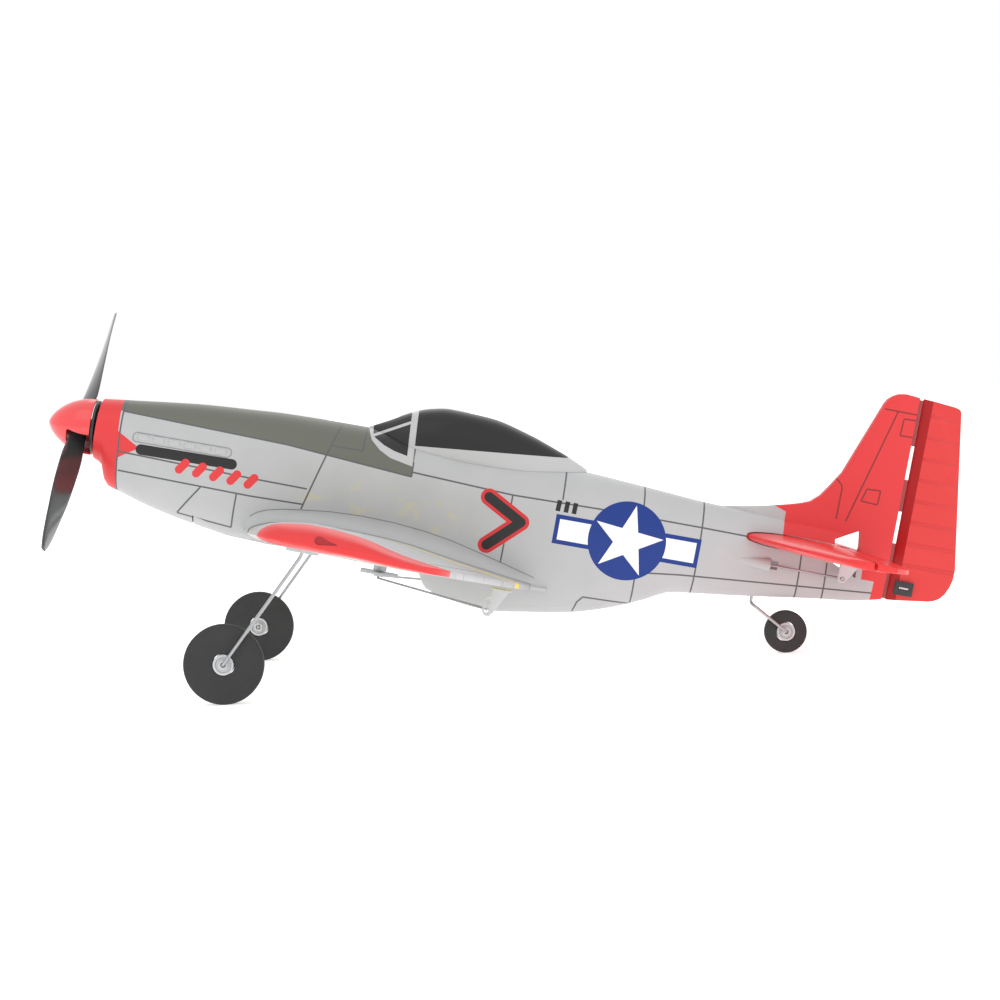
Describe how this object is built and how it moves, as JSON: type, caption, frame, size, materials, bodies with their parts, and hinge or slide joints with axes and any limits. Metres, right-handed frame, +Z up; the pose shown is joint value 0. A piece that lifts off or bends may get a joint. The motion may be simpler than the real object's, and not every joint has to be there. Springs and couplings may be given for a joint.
{
  "type": "rc foam airplane",
  "caption": "Small foam radio-control fighter with low wing, wire undercarriage, spinning propeller, working ailerons, elevator and rudder, and a belly battery door.",
  "frame": {"origin": "on the ground, midway along the length and the span, with the model standing on its three wheels", "axes": "+X aft towards the tail, +Y to starboard along the span, +Z up; the nose points to -X and sits pitched up"},
  "size_m": [0.3372, 0.4, 0.1405],
  "materials": {
    "silver_foam": "satin",
    "red_foam": "satin",
    "canopy_black": "gloss",
    "spinner_red": "gloss",
    "grey_plastic": "satin",
    "black_plastic": "satin",
    "blade_grey": "gloss",
    "tyre_foam": "matte",
    "steel_wire": "satin",
    "motor_steel": "satin",
    "brass": "satin",
    "carbon": "satin",
    "servo_blue": "gloss",
    "circuit_board": "satin",
    "battery_wrap": "gloss"
  },
  "bodies": {
    "airframe": {"fuselage_left_half": "silver_foam", "fuselage_right_half": "silver_foam", "canopy": "canopy_black", "wing_left_panel": "silver_foam", "wing_right_panel": "silver_foam", "wing_spar": "carbon", "left_aileron_hinge": "silver_foam", "right_aileron_hinge": "silver_foam", "horizontal_stabilizer": "red_foam", "left_elevator_hinge": "red_foam", "right_elevator_hinge": "red_foam", "rudder_hinge": "red_foam", "left_gear_leg": "steel_wire", "left_gear_mount": "grey_plastic", "left_wheel_collar": "grey_plastic", "right_gear_leg": "steel_wire", "right_gear_mount": "grey_plastic", "right_wheel_collar": "grey_plastic", "tail_gear_wire": "steel_wire", "front_bush": "brass", "rear_bush": "brass", "motor_can": "motor_steel", "gearbox_frame": "black_plastic", "aileron_servo": "grey_plastic", "elevator_servo": "servo_blue", "rudder_servo": "servo_blue", "battery": "battery_wrap", "receiver_board": "circuit_board", "hatch_hinge_pin": "steel_wire"},
    "prop_and_spinner": {"spinner": "spinner_red", "spinner_backplate": "black_plastic", "propeller": "blade_grey", "prop_screw": "steel_wire", "prop_shaft": "steel_wire", "spur_gear": "grey_plastic"},
    "motor_rotor": {"motor_pinion": "brass", "motor_shaft": "steel_wire"},
    "left_wheel": {"left_main_tyre": "tyre_foam", "left_main_hub": "grey_plastic"},
    "right_wheel": {"right_main_tyre": "tyre_foam", "right_main_hub": "grey_plastic"},
    "tail_wheel": {"tail_tyre": "tyre_foam", "tail_hub": "grey_plastic"},
    "aileron_arm": {"aileron_servo_arm": "grey_plastic"},
    "left_aileron_surface": {"left_aileron": "silver_foam", "left_aileron_horn": "grey_plastic"},
    "right_aileron_surface": {"right_aileron": "silver_foam", "right_aileron_horn": "grey_plastic"},
    "left_aileron_link": {"left_aileron_rod": "steel_wire"},
    "right_aileron_link": {"right_aileron_rod": "steel_wire"},
    "elevator_surface": {"elevator": "red_foam", "elevator_horn": "grey_plastic"},
    "elevator_arm": {"elevator_servo_arm": "grey_plastic"},
    "elevator_link": {"elevator_pushrod": "steel_wire"},
    "rudder_surface": {"rudder": "red_foam", "rudder_horn": "grey_plastic", "rudder_horn_backplate": "black_plastic"},
    "rudder_arm": {"rudder_servo_arm": "grey_plastic"},
    "rudder_link": {"rudder_pushrod": "steel_wire"},
    "battery_door": {"battery_hatch": "silver_foam"}
  },
  "joints": [
    {"name": "prop_spin", "type": "hinge", "parent": "airframe", "child": "prop_and_spinner", "pos_m": [-0.15681, 0, 0.09749], "axis": [0.9835, 0, -0.1809], "continuous": true},
    {"name": "motor_spin", "type": "hinge", "parent": "airframe", "child": "motor_rotor", "pos_m": [-0.13975, 0, 0.0852], "axis": [0.9835, 0, -0.1809], "continuous": true},
    {"name": "left_wheel_spin", "type": "hinge", "parent": "airframe", "child": "left_wheel", "pos_m": [-0.10194, -0.0608, 0.01375], "axis": [0, 1, 0], "continuous": true},
    {"name": "right_wheel_spin", "type": "hinge", "parent": "airframe", "child": "right_wheel", "pos_m": [-0.10194, 0.0608, 0.01375], "axis": [0, 1, 0], "continuous": true},
    {"name": "tail_wheel_spin", "type": "hinge", "parent": "airframe", "child": "tail_wheel", "pos_m": [0.09985, 0, 0.0079], "axis": [0, 1, 0], "continuous": true},
    {"name": "aileron_servo_turn", "type": "hinge", "parent": "airframe", "child": "aileron_arm", "pos_m": [-0.04992, 0, 0.03812], "axis": [0.2304, 0, 0.9731], "range_deg": [-20, 20]},
    {"name": "left_aileron_turn", "type": "hinge", "parent": "airframe", "child": "left_aileron_surface", "pos_m": [-0.01034, -0.05, 0.0374], "axis": [0.1292, 0.9853, -0.1118], "range_deg": [-12.5, 12.5]},
    {"name": "right_aileron_turn", "type": "hinge", "parent": "airframe", "child": "right_aileron_surface", "pos_m": [-0.01034, 0.05, 0.0374], "axis": [-0.1292, 0.9853, 0.1118], "range_deg": [-12.5, 12.5]},
    {"name": "left_rod_turn", "type": "hinge", "parent": "aileron_arm", "child": "left_aileron_link", "pos_m": [-0.04992, -0.006, 0.03812], "axis": [0.2304, 0, 0.9731], "range_deg": [-20, 20]},
    {"name": "right_rod_turn", "type": "hinge", "parent": "aileron_arm", "child": "right_aileron_link", "pos_m": [-0.04992, 0.006, 0.03812], "axis": [0.2304, 0, 0.9731], "range_deg": [-20, 20]},
    {"name": "elevator_turn", "type": "hinge", "parent": "airframe", "child": "elevator_surface", "pos_m": [0.12022, 0, 0.03668], "axis": [0, 1, 0], "range_deg": [-16, 16]},
    {"name": "elevator_servo_turn", "type": "hinge", "parent": "airframe", "child": "elevator_arm", "pos_m": [0.0126, -0.0045, 0.06216], "axis": [0, 1, 0], "range_deg": [-16, 16]},
    {"name": "elevator_rod_turn", "type": "hinge", "parent": "elevator_arm", "child": "elevator_link", "pos_m": [0.01235, -0.0045, 0.05287], "axis": [0, 1, 0], "range_deg": [-16, 16]},
    {"name": "rudder_turn", "type": "hinge", "parent": "airframe", "child": "rudder_surface", "pos_m": [0.14374, 0, 0.04724], "axis": [0.2304, 0, 0.9731], "range_deg": [-18, 18]},
    {"name": "rudder_servo_turn", "type": "hinge", "parent": "airframe", "child": "rudder_arm", "pos_m": [0.03388, 0, 0.04787], "axis": [0.2304, 0, 0.9731], "range_deg": [-18, 18]},
    {"name": "rudder_rod_turn", "type": "hinge", "parent": "rudder_arm", "child": "rudder_link", "pos_m": [0.03539, 0.0093, 0.04752], "axis": [0.2304, 0, 0.9731], "range_deg": [-18, 18]},
    {"name": "battery_door_swing", "type": "hinge", "parent": "airframe", "child": "battery_door", "pos_m": [-0.11908, 0, 0.06159], "axis": [0, 1, 0], "range_deg": [0, 80]}
  ],
  "couplings": [
    {"joint": "motor_spin", "follows": "prop_spin", "ratio": -2.6},
    {"joint": "left_aileron_turn", "follows": "aileron_servo_turn", "ratio": -0.57594},
    {"joint": "right_aileron_turn", "follows": "aileron_servo_turn", "ratio": 0.57594},
    {"joint": "left_rod_turn", "follows": "aileron_servo_turn", "ratio": -1},
    {"joint": "right_rod_turn", "follows": "aileron_servo_turn", "ratio": -1},
    {"joint": "elevator_servo_turn", "follows": "elevator_turn", "ratio": 1},
    {"joint": "elevator_rod_turn", "follows": "elevator_turn", "ratio": -1},
    {"joint": "rudder_servo_turn", "follows": "rudder_turn", "ratio": 1},
    {"joint": "rudder_rod_turn", "follows": "rudder_turn", "ratio": -1}
  ]
}
